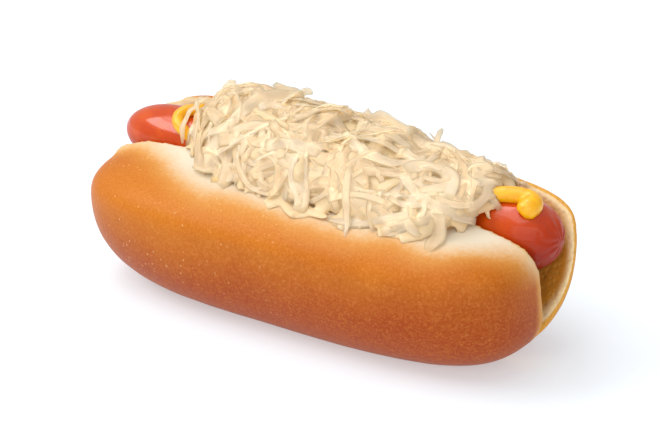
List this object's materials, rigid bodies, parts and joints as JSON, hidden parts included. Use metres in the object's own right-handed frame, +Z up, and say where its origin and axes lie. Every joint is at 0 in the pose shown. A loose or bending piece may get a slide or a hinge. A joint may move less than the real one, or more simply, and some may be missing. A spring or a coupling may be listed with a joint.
{
  "type": "hot dog with sauerkraut",
  "caption": "Hot dog: a whole sausage in a split soft bun, with a squeezed line of mustard and a heap of sauerkraut shreds along the top.",
  "frame": {"origin": "under the middle of the whole, on the surface that the bun rests on", "axes": "+X along the bun towards the sausage's blunter end, +Y across it towards the taller half of the bun, +Z up"},
  "size_m": [0.1578, 0.0624, 0.0652],
  "materials": {
    "crust": "soft golden brown baked crust, satin, paler towards the split, with a cream crumb on the cut faces",
    "sausage_skin": "smooth moist red-brown skin with a soft gloss",
    "mustard": "thick glossy yellow paste",
    "cabbage": "wet, pale, slightly see-through cabbage shreds"
  },
  "bodies": {
    "root": {"bun": "crust", "sausage": "sausage_skin", "mustard": "mustard", "sauerkraut": "cabbage"}
  },
  "joints": []
}
